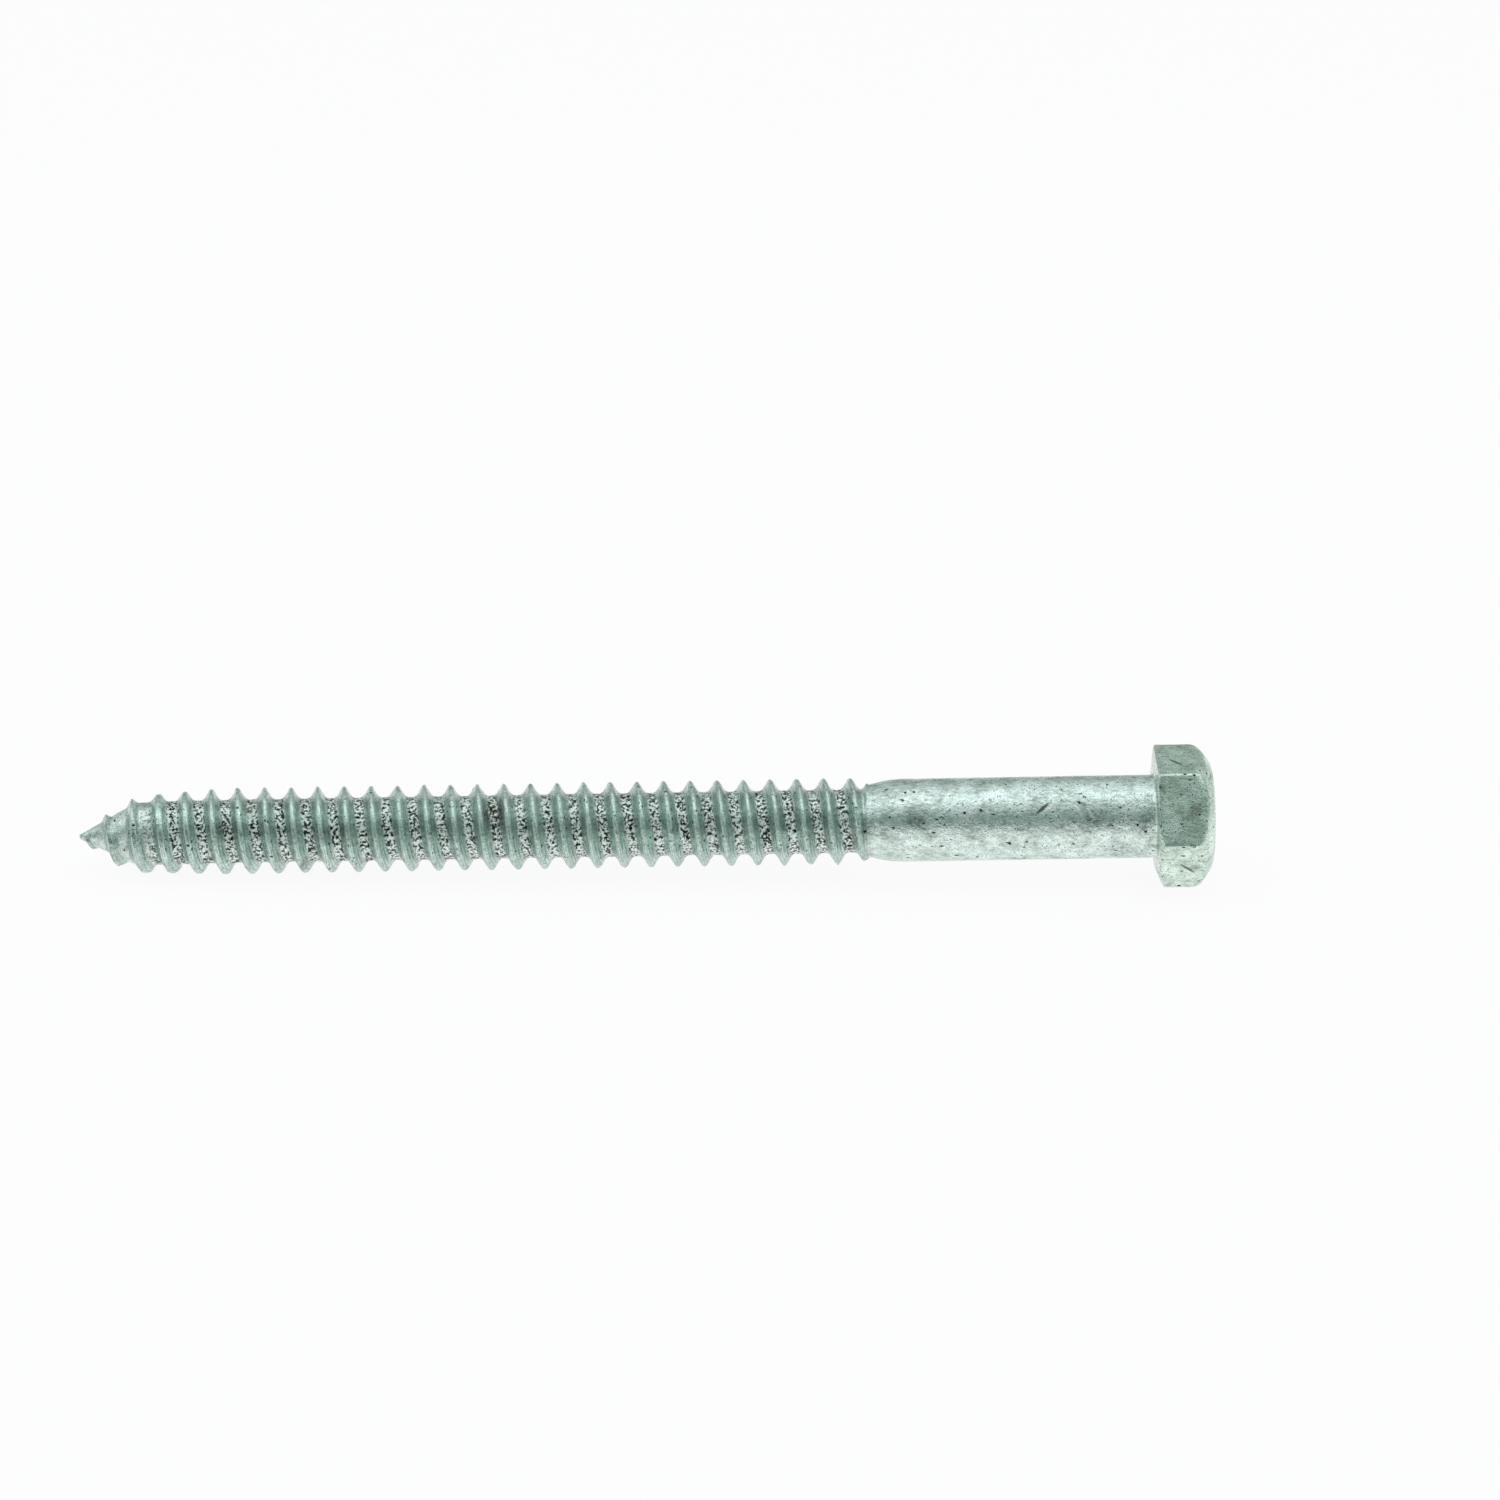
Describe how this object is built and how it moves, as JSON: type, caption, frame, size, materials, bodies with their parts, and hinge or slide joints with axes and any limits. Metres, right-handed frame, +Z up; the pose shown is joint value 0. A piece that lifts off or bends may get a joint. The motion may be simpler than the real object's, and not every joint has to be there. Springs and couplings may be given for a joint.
{
  "type": "hex lag screw",
  "caption": "Long steel wood screw with a hexagon head, plain shank, coarse rolled thread and cone point, hot-dip galvanised, lying on its side.",
  "frame": {"origin": "centre of the bearing face, the underside of the head, on the screw's axis", "axes": "+X towards the head, -X towards the point, +Z up from the table; the screw lies at rest, so its axis runs 1.22 degrees down towards the point"},
  "size_m": [0.216, 0.0272, 0.024],
  "materials": {
    "galvanised_steel": "hot-dip galvanised zinc, matt silver grey with a cool tint, smooth with small lumps and pits"
  },
  "bodies": {
    "root": {"lag_screw": "galvanised_steel"}
  },
  "joints": []
}
